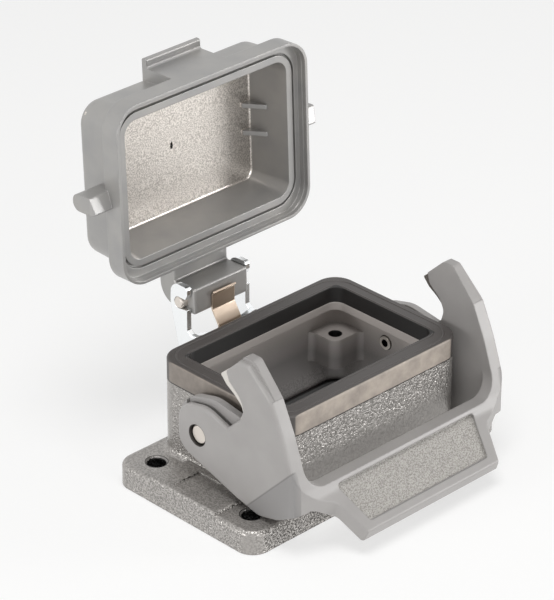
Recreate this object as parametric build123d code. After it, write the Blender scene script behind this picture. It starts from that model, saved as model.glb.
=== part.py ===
from build123d import *
from math import cos, hypot, radians, sin, tan
import os

# Rectangular connector housing for mounting on a panel, with one locking lever and a hinged metal cover.
# X runs along the long side, the lever is at -Y, the cover's hinge is at +Y, and Z points up from the panel.
# The origin is the middle of the four mounting holes, on the underside of the flange.
# All sizes are in millimetres.

# Housing walls
WALL_LENGTH = 59.4
WALL_WIDTH = 42.4
WALL_HEIGHT = 25.0
WALL_CORNER = 5.5
END_WALL = 2.2
SIDE_WALL = 2.8
CAVITY_CORNER = 4.0
CAVITY_DRAFT = 0.6
WALL_FOOT_FILLET = 1.6

# Rim that carries the rubber cap
RIM_HEIGHT = 4.2
RIM_THICKNESS = 1.9
RIM_SETBACK = 1.5
LIP_INSET = 4.8
LIP_DEPTH = 1.3

# Mounting flange
FLANGE_END_MARGIN = 12.1
FLANGE_SIDE_MARGIN = 2.25
FLANGE_THICKNESS = 5.9
FLANGE_RISE = 0.8
FLANGE_CORNER = 4.6
FLANGE_EDGE = 1.2
FLANGE_RISE_WIDTH = 22.0
HOLE_INSET_X = 6.8
HOLE_INSET_Y = 7.45
HOLE_DIAMETER = 4.3
HOLE_CHAMFER = 0.55
BADGE_LENGTH = 7.8
BADGE_WIDTH = 8.0
BADGE_DEPTH = 0.45
BADGE_Y = 1.0

# Screw posts in the corners of the cavity
POST_INSET_X = 5.5
POST_INSET_Y = 4.9
POST_RADIUS = 3.3
POST_FLARE = 2.0
POST_TOP = 19.2
POST_HEIGHT = 8.0
POST_HOLE = 3.2

# Rubber parts
CAP_TOP = 1.2
CAP_INNER_DROP = 0.15
BASE_SEAL_WIDTH = 3.2
BASE_SEAL_DEPTH = 3.0
BASE_SEAL_REACH = 0.7
BASE_SEAL_GAP = 0.1

# Lever pivot
PIVOT_Y = 1.7
PIVOT_DROP = 11.1
PIVOT_SHANK = 3.4
PIVOT_HEAD = 4.8
PIVOT_HEAD_THICKNESS = 1.2
PIVOT_HEAD_RECESS = 0.6
PIVOT_END_STANDOUT = 0.4
PIVOT_END_BORE = 1.8
PIVOT_PAD = 9.0
PIVOT_PAD_HEIGHT = 1.5

# Locking lever
ARM_THICKNESS = 3.8
ARM_GAP = 0.2
ARM_SKIN = 1.3
RUNNING_CLEARANCE = 0.05
HEAD_CLEARANCE = 0.3
HEAD_SEAT_GAP = 0.2
HOOK_PLATE = 0.8
HOOK_PLATE_GAP = 0.02
HOOK_CLEARANCE = 0.32
HOOK_START = 117.0
HOOK_END = 136.0
PANEL_DEPTH = 0.5
PANEL_MARGIN_TOP = 1.9
PANEL_MARGIN_FOOT = 2.1
PANEL_SIDE_TOP = 2.2
PANEL_SIDE_FOOT = 1.9
ARM_BACK = 18.3
SWEEP_START = 31.6
WAIST_REACH = 35.6
WAIST_INSET = 10.1
TONGUE_REACH = 43.5
TONGUE_INSET = 13.6
TONGUE_WALL = 2.0
INNER_CORNER = 5.5
LEVER_EDGE = 0.7
TONGUE_EDGE = 0.4

# Cover
COVER_SKIRT = 0.75
COVER_OVERHANG = 0.95
COVER_OVERHANG_SIDES = 1.7
SKIRT_DEPTH = 5.4
SKIRT_STEP = 0.12
SKIRT_STEP_DEPTH = 1.2
GROOVE_WIDTH = 0.6
GROOVE_DEPTH = 1.1
COVER_LIP_RECESS = 2.6
COVER_LIP = 1.75
COVER_DEPTH = 16.6
COVER_SHELL = 2.1
COVER_BODY_INSET_X = 1.6
COVER_BODY_INSET_Y = 2.6
SKIRT_FILLET = 1.0
SKIRT_EDGE = 0.5
BACK_EDGE = 2.4
SEAT_GAP = 0.03
COVER_DRAFT = 3.0
CAVITY_TAPER = 6.0
COVER_CAVITY_INSET_X = 3.6
COVER_CAVITY_INSET_Y = 3.4
OPEN_ANGLE = 92.5
RIB_THICKNESS = 1.2
RIB_SPREAD = 7.2
RIB_REACH = 3.0
RIB_HEIGHT = 5.8
PEG_LENGTH = 5.8
PEG_HEIGHT = 4.4
PEG_TOP = 9.9
PEG_FOOT = 2.8
PEG_SLANT = 1.3
PEG_BEVEL = 0.8
PEG_OFFSET = 0.2
TAB_LENGTH = 17.2
TAB_BACK = 15.2
TAB_LIP = 2.4
TAB_LIP_THICKNESS = 1.6

# Cover hinge
HINGE_REACH = 13.25
HINGE_RISE = 1.5
PIN_DIAMETER = 3.0
KNUCKLE_LENGTH = 17.6
KNUCKLE_FLAT = 4.05
KNUCKLE_BACK = 2.9
LUG_TOP = 12.5
LUG_THICKNESS = 5.6
LUG_EDGE = 0.7
BRACKET_SHEET = 1.4
BRACKET_SIDE_GAP = 0.2
PIN_STANDOUT = 0.2
BRACKET_TOP = 4.9
BRACKET_FRONT = 2.9
BRACKET_BACK = 2.9
BRACKET_FOOT = 10.0
WEB_TOP = 7.4
WEB_DIP = 1.4
PAD_DEPTH = 7.2
PAD_TOP = 23.0
PAD_FOOT = 3.0
SPRING_THICKNESS = 0.45
SPRING_WIDTH = 7.3
SPRING_GAP = 0.2
SPRING_RISE = 2.2
RIVET_DIAMETER = 3.0
RIVET_HEAD = 5.6
RIVET_HEAD_HEIGHT = 1.3
RIVET_SPACING = 9.6
RIVET_Z = 13.5
RIVET_DEPTH = 4.5

# Derived places
HALF_L = WALL_LENGTH / 2
HALF_W = WALL_WIDTH / 2
CAP_Z = WALL_HEIGHT + RIM_HEIGHT + CAP_TOP
PIVOT_Z = CAP_Z - PIVOT_DROP
HINGE_Y = HALF_W + HINGE_REACH
HINGE_Z = CAP_Z + HINGE_RISE
LIP_Z = WALL_HEIGHT + LIP_DEPTH
FLANGE_L = WALL_LENGTH + 2 * FLANGE_END_MARGIN
FLANGE_W = WALL_WIDTH + 2 * FLANGE_SIDE_MARGIN
HOLE_X = FLANGE_L / 2 - HOLE_INSET_X
HOLE_Y = FLANGE_W / 2 - HOLE_INSET_Y
CAVITY_L = WALL_LENGTH - 2 * END_WALL
CAVITY_W = WALL_WIDTH - 2 * SIDE_WALL
POST_X = CAVITY_L / 2 - POST_INSET_X
POST_Y = CAVITY_W / 2 - POST_INSET_Y
ARM_IN = HALF_L + PIVOT_PAD_HEIGHT + ARM_GAP
ARM_OUT = ARM_IN + ARM_THICKNESS
WAIST_HALF = ARM_OUT - WAIST_INSET
TONGUE_TIP = ARM_OUT - TONGUE_INSET
PANEL_TOP_HALF = WAIST_HALF - PANEL_SIDE_TOP
PANEL_FOOT_HALF = TONGUE_TIP - PANEL_SIDE_FOOT
PLATE_OUT = ARM_OUT - ARM_SKIN
PLATE_IN = PLATE_OUT - HOOK_PLATE
SKIRT_L = WALL_LENGTH + 2 * COVER_OVERHANG
SKIRT_W = WALL_WIDTH + 2 * COVER_OVERHANG_SIDES
COVER_Z = CAP_Z - COVER_LIP_RECESS + SEAT_GAP
HOOK_RADIUS = COVER_Z + PEG_TOP + HOOK_CLEARANCE - PIVOT_Z
KNUCKLE_HALF = KNUCKLE_LENGTH / 2
BRACKET_IN = KNUCKLE_HALF + BRACKET_SIDE_GAP
BRACKET_OUT = BRACKET_IN + BRACKET_SHEET
PAD_Y = HALF_W + PAD_DEPTH
SPRING_Y = PAD_Y + SPRING_THICKNESS
WEB_Y = SPRING_Y + BRACKET_SHEET


def corner_points(points):
    """Tangent points and arc middles of a closed outline whose corners are (x, y, radius)."""
    result = []
    count = len(points)
    for i in range(count):
        px, py, _ = points[i - 1]
        x, y, r = points[i]
        nx, ny, _ = points[(i + 1) % count]
        a = (px - x, py - y)
        b = (nx - x, ny - y)
        la = hypot(*a)
        lb = hypot(*b)
        a = (a[0] / la, a[1] / la)
        b = (b[0] / lb, b[1] / lb)
        turn = (a[0] * b[0] + a[1] * b[1])
        half = (1 - turn) / 2
        half_sin = half ** 0.5
        half_cos = (1 - half) ** 0.5
        reach = r * half_cos / half_sin
        limit = 0.48 * min(la, lb)
        if reach > limit:
            r = r * limit / reach
            reach = limit
        start = (x + a[0] * reach, y + a[1] * reach)
        end = (x + b[0] * reach, y + b[1] * reach)
        away = (a[0] + b[0], a[1] + b[1])
        size = hypot(*away)
        if r < 0.01 or size < 1e-6:
            result.append(((x, y), None, (x, y)))
            continue
        centre = r / half_sin
        depth = centre - r
        middle = (x + away[0] / size * depth, y + away[1] / size * depth)
        result.append((start, middle, end))
    return result


def outline(points):
    """Face of a closed outline with rounded corners, in the XY plane."""
    corners = corner_points(points)
    edges = []
    count = len(corners)
    for i in range(count):
        start, middle, end = corners[i]
        if middle is not None:
            edges.append(ThreePointArc(start, middle, end))
        following = corners[(i + 1) % count][0]
        if hypot(following[0] - end[0], following[1] - end[1]) > 1e-6:
            edges.append(Line(end, following))
    return make_face(Wire(edges))


def side_solid(points, x_from, x_to):
    """Solid with a YZ outline between two X positions."""
    plane = Plane(origin=(x_from, 0, 0), x_dir=(0, 1, 0), z_dir=(1, 0, 0))
    return extrude(plane * outline(points), amount=x_to - x_from)


def plan_solid(points, z_from, z_to):
    """Solid with an XY outline between two heights."""
    return extrude(Pos(0, 0, z_from) * outline(points), amount=z_to - z_from)


def box_solid(length, width, z_from, z_to, corner, inset_top=0.0):
    """Upright block with rounded corners, its top smaller by inset_top on each side."""
    low = RectangleRounded(length, width, corner)
    if inset_top == 0:
        return extrude(Pos(0, 0, z_from) * low, amount=z_to - z_from)
    top_corner = max(corner - inset_top, 0.3)
    high = RectangleRounded(length - 2 * inset_top, width - 2 * inset_top, top_corner)
    return loft([Pos(0, 0, z_from) * low.face(), Pos(0, 0, z_to) * high.face()])


def cylinder_x(radius, x_from, x_to, y, z):
    """Round bar along X."""
    plane = Plane(origin=(x_from, y, z), x_dir=(0, 1, 0), z_dir=(1, 0, 0))
    return extrude(plane * Circle(radius), amount=x_to - x_from)


def cylinder_y(radius, y_from, y_to, x, z):
    """Round bar along Y."""
    plane = Plane(origin=(x, y_from, z), x_dir=(1, 0, 0), z_dir=(0, 1, 0))
    return extrude(plane * Circle(radius), amount=y_to - y_from)


def both_ends(part):
    """The part and its mirror image on the other short end."""
    return part + mirror(part, about=Plane.YZ)


def flange_plate():
    """Mounting plate with its rounded upper edge."""
    plate = box_solid(FLANGE_L, FLANGE_W, 0, FLANGE_THICKNESS, FLANGE_CORNER)
    return fillet(plate.faces().sort_by(Axis.Z)[-1].edges(), FLANGE_EDGE)


def flange_rise():
    """Slightly raised middle of the plate, between the holes."""
    rise_top = FLANGE_THICKNESS + FLANGE_RISE
    rise = Pos(0, 0, rise_top / 2) * Box(FLANGE_L, FLANGE_RISE_WIDTH, rise_top)
    return fillet(rise.faces().sort_by(Axis.Z)[-1].edges(), FLANGE_RISE - 0.1)


def mounting_holes():
    """The four through holes with their chamfered mouths."""
    places = [(sx * HOLE_X, sy * HOLE_Y) for sx in (-1, 1) for sy in (-1, 1)]
    radius = HOLE_DIAMETER / 2
    tool = Pos(0, 0, FLANGE_THICKNESS / 2) * Cylinder(radius, 2 * FLANGE_THICKNESS)
    mouth = Pos(0, 0, FLANGE_THICKNESS - HOLE_CHAMFER / 2) * Cone(radius, radius + HOLE_CHAMFER, HOLE_CHAMFER)
    tool = tool + mouth
    return [Pos(x, y, 0) * tool for x, y in places]


def badge_recesses():
    """Shallow bare rectangles on the flange, one at each end."""
    middle = (HALF_L + FLANGE_L / 2) / 2
    top = FLANGE_THICKNESS + FLANGE_RISE
    return [Pos(side * middle, BADGE_Y, top) * Box(BADGE_WIDTH, BADGE_LENGTH, 2 * BADGE_DEPTH)
            for side in (-1, 1)]


def cavity():
    """Inside of the housing: wide below, with a narrower mouth under the rubber cap."""
    drop = LIP_Z - LIP_DEPTH
    spread = drop * tan(radians(CAVITY_DRAFT))
    low_l = CAVITY_L + spread
    low_w = CAVITY_W + spread
    lower = box_solid(low_l, low_w, 0, drop - 0.8, CAVITY_CORNER, spread / 2)
    mouth_l = WALL_LENGTH - 2 * LIP_INSET
    mouth_w = WALL_WIDTH - 2 * LIP_INSET - 0.2
    mouth_corner = max(CAVITY_CORNER - 1.2, 0.5)
    mouth = box_solid(mouth_l, mouth_w, drop - 2, CAP_Z + 1, mouth_corner)
    return lower + mouth


def corner_posts():
    """Four posts for the insert's screws, each filling a corner of the cavity."""
    reach_x = HALF_L - END_WALL / 2
    reach_y = HALF_W - SIDE_WALL / 2
    near_x = POST_X - POST_RADIUS
    near_y = POST_Y - POST_RADIUS
    posts = []
    inside = box_solid(WALL_LENGTH - END_WALL, WALL_WIDTH - END_WALL, 0, WALL_HEIGHT, WALL_CORNER - END_WALL / 2)
    for sx in (-1, 1):
        for sy in (-1, 1):
            points = [(sx * near_x, sy * near_y, POST_RADIUS * 0.8),
                      (sx * (CAVITY_L / 2 - POST_FLARE / 2), sy * near_y, POST_FLARE),
                      (sx * (CAVITY_L / 2 + POST_FLARE / 2), sy * (near_y - POST_FLARE), 0),
                      (sx * reach_x, sy * reach_y, 0),
                      (sx * (near_x - POST_FLARE), sy * (CAVITY_W / 2 + POST_FLARE / 2), 0),
                      (sx * near_x, sy * (CAVITY_W / 2 - POST_FLARE / 2), POST_FLARE)]
            post = plan_solid(points, POST_TOP - POST_HEIGHT, POST_TOP)
            hole = Pos(sx * POST_X, sy * POST_Y, POST_TOP - POST_HEIGHT / 2) * Cylinder(POST_HOLE / 2, 2 * POST_HEIGHT)
            posts.append((post & inside) - hole)
    return posts


def seal_ring(grow, z_from, z_to):
    """Ring under the flange around the cavity, grown by a clearance."""
    outer = box_solid(CAVITY_L + 2 * BASE_SEAL_WIDTH + 2 * grow, CAVITY_W + 2 * BASE_SEAL_WIDTH + 2 * grow,
                      z_from, z_to, CAVITY_CORNER + BASE_SEAL_WIDTH)
    return outer


def hinge_pad():
    """Cast block on the back wall that carries the cover's bracket."""
    half = BRACKET_IN - 1.2
    points = [(-half, HALF_W - SIDE_WALL / 2, 0), (half, HALF_W - SIDE_WALL / 2, 0), (half - 0.6, PAD_Y, 1.2),
              (-half + 0.6, PAD_Y, 1.2)]
    pad = plan_solid(points, PAD_FOOT, PAD_TOP)
    return pad


def housing():
    """Die-cast box with its flange."""
    walls = box_solid(WALL_LENGTH, WALL_WIDTH, 0, WALL_HEIGHT, WALL_CORNER)
    body = flange_plate() + walls
    foot = body.edges().filter_by_position(Axis.Z, FLANGE_THICKNESS - 0.01, FLANGE_THICKNESS + 0.01)
    foot = [e for e in foot if abs(e.center().X) < HALF_L + 0.1 and abs(e.center().Y) < HALF_W + 0.1]
    body = fillet(foot, WALL_FOOT_FILLET)
    body += flange_rise()
    body += hinge_pad()
    pads = cylinder_x(PIVOT_PAD / 2, HALF_L - END_WALL / 2, HALF_L + PIVOT_PAD_HEIGHT, PIVOT_Y, PIVOT_Z)
    body += both_ends(pads)
    rim_l = WALL_LENGTH - 2 * RIM_SETBACK
    rim_w = WALL_WIDTH - 2 * RIM_SETBACK
    rim = box_solid(rim_l, rim_w, WALL_HEIGHT, WALL_HEIGHT + RIM_HEIGHT, WALL_CORNER - RIM_SETBACK)
    rim -= box_solid(rim_l - 2 * RIM_THICKNESS, rim_w - 2 * RIM_THICKNESS, LIP_Z, CAP_Z, WALL_CORNER - RIM_SETBACK
                     - RIM_THICKNESS + 0.4)
    body += rim
    body -= cavity()
    for post in corner_posts():
        body += post
    body -= seal_ring(0, -1, BASE_SEAL_DEPTH)
    for hole in mounting_holes():
        body -= hole
    for recess in badge_recesses():
        body -= recess
    shank = cylinder_x(PIVOT_SHANK / 2, HALF_L - END_WALL - 3, ARM_IN, PIVOT_Y, PIVOT_Z)
    body -= both_ends(shank)
    for x in (-RIVET_SPACING / 2, RIVET_SPACING / 2):
        body -= cylinder_y(RIVET_DIAMETER / 2, PAD_Y - RIVET_DEPTH, PAD_Y + 1, x, RIVET_Z)
    return body


def rim_cap():
    """Rubber cap over the housing's rim: a channel that covers its outer side, top and inner side."""
    outer = box_solid(WALL_LENGTH, WALL_WIDTH, WALL_HEIGHT, CAP_Z, WALL_CORNER)
    outer = fillet(outer.faces().sort_by(Axis.Z)[-1].edges(), 0.5)
    mouth_l = WALL_LENGTH - 2 * LIP_INSET + 2 * CAP_INNER_DROP
    mouth_w = WALL_WIDTH - 2 * LIP_INSET - 0.2 + 2 * CAP_INNER_DROP
    mouth = box_solid(mouth_l, mouth_w, 0, CAP_Z + 1, max(CAVITY_CORNER - 1.1, 0.5))
    ring = outer - mouth
    rim_l = WALL_LENGTH - 2 * RIM_SETBACK
    rim_w = WALL_WIDTH - 2 * RIM_SETBACK
    ring -= box_solid(rim_l, rim_w, 0, WALL_HEIGHT + RIM_HEIGHT, WALL_CORNER - RIM_SETBACK) - box_solid(
        rim_l - 2 * RIM_THICKNESS, rim_w - 2 * RIM_THICKNESS, LIP_Z, CAP_Z, WALL_CORNER - RIM_SETBACK
        - RIM_THICKNESS + 0.4)
    return ring


def base_seal():
    """Rubber ring in the underside of the flange."""
    ring = seal_ring(-BASE_SEAL_GAP, 0, BASE_SEAL_DEPTH)
    inner = box_solid(CAVITY_L - 2 * BASE_SEAL_REACH, CAVITY_W - 2 * BASE_SEAL_REACH, -1, BASE_SEAL_DEPTH + 1,
                      CAVITY_CORNER)
    return ring - inner


def pivot_pin():
    """Headed pin that carries one arm of the lever, with a drilled inner end."""
    head_out = ARM_OUT - PIVOT_HEAD_RECESS
    head_in = head_out - PIVOT_HEAD_THICKNESS
    inner = HALF_L - END_WALL - PIVOT_END_STANDOUT
    pin = cylinder_x(PIVOT_SHANK / 2, inner, head_out, PIVOT_Y, PIVOT_Z)
    head = cylinder_x(PIVOT_HEAD / 2, head_in, head_out, PIVOT_Y, PIVOT_Z)
    head = chamfer(head.faces().sort_by(Axis.X)[-1].edges(), 0.25)
    pin += head
    pin -= cylinder_x(PIVOT_END_BORE / 2, inner - 1, inner + 1.6, PIVOT_Y, PIVOT_Z)
    return pin


# Points of an arm's outline in the YZ plane, measured from the pivot, each with the radius of its corner
ARM_FOOT = [(6.6, -5.1, 5.0), (-12.7, -11.2, 20.0), (-20.2, -12.9, 6.0), (-26.2, -11.4, 8.0), (-33.0, -7.6, 0.8)]
ARM_FRONT = [(-33.9, -4.9, 1.5), (-32.6, -2.3, 8.0), (-28.1, 10.7, 25.0), (-24.3, 18.8, 7.0)]
SKIN_TIP = [(-16.9, 25.4, 1.6), (-13.9, 25.3, 1.2), (-9.4, 21.1, 0.6)]
RIB_TIP = [(-17.5, 26.3, 1.4), (-14.5, 26.3, 1.0), (-9.4, 21.4, 0.6)]
HOOK_MOUTH = [(-10.3, 18.7, 2.0), (-13.7, 15.9, 5.0), (-15.1, 13.3, 3.0)]
SKIN_BACK = [(-14.1, 10.3, 0.6), (-9.8, 6.2, 0.4), (-2.7, 8.5, 8.0), (6.6, 6.5, 6.0)]
RIB_BACK = [(-14.3, 10.5, 0.6), (-12.5, 9.0, 0.4), (-3.7, 10.3, 9.0), (6.9, 7.5, 7.0)]
SLOT_FLOOR = [(-19.0, 18.7, 1.0), (-20.7, 11.2, 1.0), (-15.3, 7.6, 0.5)]

# Slope of the bridge in the YZ plane, from its back edge down to the front lip, and its rounded underside
BRIDGE_BACK = (-31.4, -2.7)
BRIDGE_LIP = (-42.6, -12.6)
BRIDGE_UNDER = [(-41.3, -16.0, 0.8), (-34.7, -10.0, 3.0), (-33.0, -7.6, 1.0), (-30.6, -6.4, 0.8)]


def from_pivot(points):
    """Points measured from the lever's pivot, in the shared frame."""
    return [(PIVOT_Y + y, PIVOT_Z + z, r) for y, z, r in points]


def jaw_point(angle, radius):
    """Point on the hook's inner curve at an angle about the pivot, with the radius of its corner."""
    return (HOOK_RADIUS * cos(radians(angle)), HOOK_RADIUS * sin(radians(angle)), radius)


def plate_outline():
    """Steel plate that lines the hook."""
    jaw = [jaw_point(HOOK_START, 1.5), jaw_point((HOOK_START + HOOK_END) / 2, 8.0), jaw_point(HOOK_END, 2.0)]
    tip = [(-6.6, HOOK_RADIUS + 0.05, 0.4)]
    foot = [(-14.0, 11.3, 1.0), (-13.0, 9.6, 0.3)]
    back = list(reversed(SLOT_FLOOR)) + [(-14.0, 24.3, 0.5), (-9.8, 21.6, 0.4)]
    return from_pivot(tip + jaw + foot + back)


def slot_outline():
    """Slot between the two layers of an arm."""
    mouth = [(4.7, 3.9, 1.0), (4.7, 14.7, 0), (-4.7, 30.7, 0), (-14.0, 30.7, 0), (-14.0, 24.3, 0.4)]
    return from_pivot(mouth + SLOT_FLOOR + [(-10.3, 4.3, 0.5), (-3.7, 5.9, 6.0)])


def hook_plate():
    """Steel plate of the right arm."""
    return side_solid(plate_outline(), PLATE_IN, PLATE_OUT)


def lever_arm():
    """Right arm of the lever: an outer skin and a higher inner layer, with a slot and a pivot bore."""
    outer = side_solid(from_pivot(ARM_FOOT + ARM_FRONT + SKIN_TIP + HOOK_MOUTH + SKIN_BACK), PLATE_OUT, ARM_OUT)
    outer = fillet(outer.faces().sort_by(Axis.X)[-1].edges(), LEVER_EDGE)
    inner = side_solid(from_pivot(ARM_FOOT + ARM_FRONT + RIB_TIP + HOOK_MOUTH + RIB_BACK), ARM_IN, PLATE_OUT)
    arm = outer + inner
    arm -= side_solid(slot_outline(), PLATE_IN - HOOK_PLATE_GAP, PLATE_OUT + HOOK_PLATE_GAP)
    arm -= cylinder_x(PIVOT_SHANK / 2 + RUNNING_CLEARANCE, ARM_IN - 1, ARM_OUT + 1, PIVOT_Y, PIVOT_Z)
    seat = ARM_OUT - PIVOT_HEAD_RECESS - PIVOT_HEAD_THICKNESS - HEAD_SEAT_GAP
    arm -= cylinder_x(PIVOT_HEAD / 2 + HEAD_CLEARANCE, seat, ARM_OUT + 1, PIVOT_Y, PIVOT_Z)
    return arm


def slope_height(y):
    """Height of the bridge's sloping face at a place, both measured from the pivot."""
    share = (y - BRIDGE_LIP[0]) / (BRIDGE_BACK[0] - BRIDGE_LIP[0])
    return BRIDGE_LIP[1] + share * (BRIDGE_BACK[1] - BRIDGE_LIP[1])


def frame_profile():
    """Side view of the bar that runs down the front of both arms and across the bridge."""
    back = [(-29.3, -1.7, 2.0), (-24.5, 10.7, 0), (-20.7, 18.1, 0)]
    front = [(-24.3, 18.8, 0), (-28.1, 10.7, 25.0), (-32.6, -2.3, 8.0), (-33.7, slope_height(-33.7), 4.0)]
    return from_pivot([BRIDGE_LIP + (0.8,)] + BRIDGE_UNDER + back + front)


def tongue_sides(front):
    """Edges where the bridge's sloping face meets the sides of the tongue."""
    edges = []
    for edge in front.edges():
        place = edge.center()
        on_slope = abs(place.Z - PIVOT_Z - slope_height(place.Y - PIVOT_Y)) < 0.1
        if on_slope and place.Y < PIVOT_Y + BRIDGE_BACK[0] and abs(place.X) > TONGUE_TIP:
            edges.append(edge)
    return edges


def lever_front(plan):
    """Bar across the arms' front edges with the sloping finger bridge, in front view a rounded U."""
    bar = side_solid(frame_profile(), -ARM_OUT, ARM_OUT)
    ends = bar.faces().sort_by(Axis.X)
    rounded = fillet(ends[0].edges() + ends[-1].edges(), LEVER_EDGE)
    bridge = side_solid(from_pivot([BRIDGE_LIP + (0.8,)] + BRIDGE_UNDER + [BRIDGE_BACK + (0.7,)]), -ARM_IN, ARM_IN)
    front_plane = Plane(origin=(0, 0, 0), x_dir=(1, 0, 0), z_dir=(0, -1, 0))
    foot = PIVOT_Z + BRIDGE_BACK[1]
    opening = outline([(-ARM_IN, foot, INNER_CORNER), (ARM_IN, foot, INNER_CORNER), (ARM_IN, foot + 50, 0),
                       (-ARM_IN, foot + 50, 0)])
    bar -= extrude(front_plane * opening, amount=60)
    front = (bar + bridge) & plan
    front = fillet(tongue_sides(front), TONGUE_EDGE)
    return front & rounded


def lever_plan():
    """Outline of the lever from above: the arms sweep inwards to the narrower finger tongue."""
    side = [(ARM_OUT, PIVOT_Y + ARM_BACK, 0), (ARM_OUT, PIVOT_Y - SWEEP_START, 3.0),
            (WAIST_HALF, PIVOT_Y - WAIST_REACH, 2.4), (TONGUE_TIP, PIVOT_Y - TONGUE_REACH, 1.3)]
    other = [(-x, y, r) for x, y, r in reversed(side)]
    return side + other


def grip_panel():
    """Shallow tapered recess in the sloping face of the bridge."""
    run = BRIDGE_LIP[0] - BRIDGE_BACK[0]
    drop = BRIDGE_LIP[1] - BRIDGE_BACK[1]
    slope = hypot(run, drop)
    plane = Plane(origin=(0, PIVOT_Y + BRIDGE_BACK[0], PIVOT_Z + BRIDGE_BACK[1]), x_dir=(1, 0, 0),
                  z_dir=(0, drop / slope, -run / slope))
    foot = slope - PANEL_MARGIN_FOOT
    panel = outline([(-PANEL_TOP_HALF, -PANEL_MARGIN_TOP, 0.8), (PANEL_TOP_HALF, -PANEL_MARGIN_TOP, 0.8),
                     (PANEL_FOOT_HALF, -foot, 1.0), (-PANEL_FOOT_HALF, -foot, 1.0)])
    return extrude(plane * panel, amount=PANEL_DEPTH, both=True)


def finger_hollow():
    """Hollow under the tongue, open downwards, that leaves a wall all round."""
    half = TONGUE_TIP - TONGUE_WALL
    below = BRIDGE_LIP[1] - 8
    points = from_pivot([(-32.6, -6.3, 0.6), (-33.1, below, 0), (-39.9, below, 0), (-39.9, -13.2, 0.6)])
    return side_solid(points, -half, half)


def lever():
    """Locking lever: two hooked arms and the bridge, moulded in one."""
    plan = plan_solid(lever_plan(), -10, PIVOT_Z + 40)
    body = (both_ends(lever_arm()) & plan) + lever_front(plan)
    body -= grip_panel()
    return body - finger_hollow()


def cover_shell():
    """Cover in its own frame: rim plane at Z = 0, opening downwards, hinge side at +Y."""
    outer_corner = WALL_CORNER + COVER_OVERHANG + 0.6
    skirt = box_solid(SKIRT_L, SKIRT_W, 0, SKIRT_DEPTH, outer_corner)
    skirt = fillet(skirt.faces().sort_by(Axis.Z)[-1].edges(), SKIRT_EDGE)
    body_l = SKIRT_L - 2 * COVER_BODY_INSET_X
    body_w = SKIRT_W - 2 * COVER_BODY_INSET_Y
    inset = (COVER_DEPTH - 2) * tan(radians(COVER_DRAFT))
    body = box_solid(body_l, body_w, 2, COVER_DEPTH, WALL_CORNER + 0.6, inset)
    body = fillet(body.faces().sort_by(Axis.Z)[-1].edges(), BACK_EDGE)
    shell = skirt + body
    ledge = shell.edges().filter_by_position(Axis.Z, SKIRT_DEPTH - 0.01, SKIRT_DEPTH + 0.01)
    ledge = [e for e in ledge if abs(e.center().X) < body_l / 2 + 0.1 and abs(e.center().Y) < body_w / 2 + 0.1]
    return fillet(ledge, SKIRT_FILLET)


def hollow_out(shell):
    """Cuts the rim's steps, the groove around the lip and the cavity."""
    inner_l = SKIRT_L - 2 * COVER_SKIRT
    inner_w = SKIRT_W - 2 * COVER_SKIRT
    corner = WALL_CORNER + COVER_OVERHANG + 0.6 - COVER_SKIRT
    cavity_l = WALL_LENGTH - 2 * COVER_CAVITY_INSET_X
    cavity_w = WALL_WIDTH - 2 * COVER_CAVITY_INSET_Y
    lip_l = cavity_l + 2 * COVER_LIP
    lip_w = cavity_w + 2 * COVER_LIP
    shell -= box_solid(inner_l, inner_w, -1, SKIRT_STEP_DEPTH, corner)
    shell -= box_solid(inner_l - 2 * SKIRT_STEP, inner_w - 2 * SKIRT_STEP, -1, COVER_LIP_RECESS, corner - SKIRT_STEP)
    bottom = COVER_LIP_RECESS + GROOVE_DEPTH
    groove = box_solid(lip_l + 2 * GROOVE_WIDTH, lip_w + 2 * GROOVE_WIDTH, COVER_LIP_RECESS - 0.5, bottom,
                       CAVITY_CORNER + COVER_LIP + GROOVE_WIDTH)
    shell -= groove - box_solid(lip_l, lip_w, 0, bottom + 1, CAVITY_CORNER + COVER_LIP)
    deep = COVER_DEPTH - COVER_SHELL
    taper = (deep - COVER_LIP_RECESS) * tan(radians(CAVITY_TAPER))
    mouth = COVER_LIP_RECESS - 0.5
    hollow = box_solid(cavity_l, cavity_w, mouth, deep, CAVITY_CORNER - 0.4, taper)
    hollow = fillet(hollow.faces().sort_by(Axis.Z)[-1].edges(), 0.5)
    return shell - hollow


def cover_ribs():
    """Small gussets inside the short walls, behind the pegs."""
    mouth = HALF_L - COVER_CAVITY_INSET_X
    deep = COVER_DEPTH - COVER_SHELL
    floor_half = mouth - (deep - COVER_LIP_RECESS) * tan(radians(CAVITY_TAPER))
    points = [(mouth + 0.5, deep + 0.5, 0), (mouth + 0.5, deep - RIB_HEIGHT, 0),
              (floor_half + 0.2, deep - RIB_HEIGHT + 0.4, 0.3), (floor_half - RIB_REACH, deep - 0.5, 0.4),
              (floor_half - RIB_REACH, deep + 0.5, 0)]
    plane = Plane(origin=(0, RIB_THICKNESS / 2, 0), x_dir=(1, 0, 0), z_dir=(0, -1, 0))
    rib = extrude(plane * outline(points), amount=RIB_THICKNESS)
    pair = Pos(0, RIB_SPREAD / 2, 0) * rib + Pos(0, -RIB_SPREAD / 2, 0) * rib
    return both_ends(pair)


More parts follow.
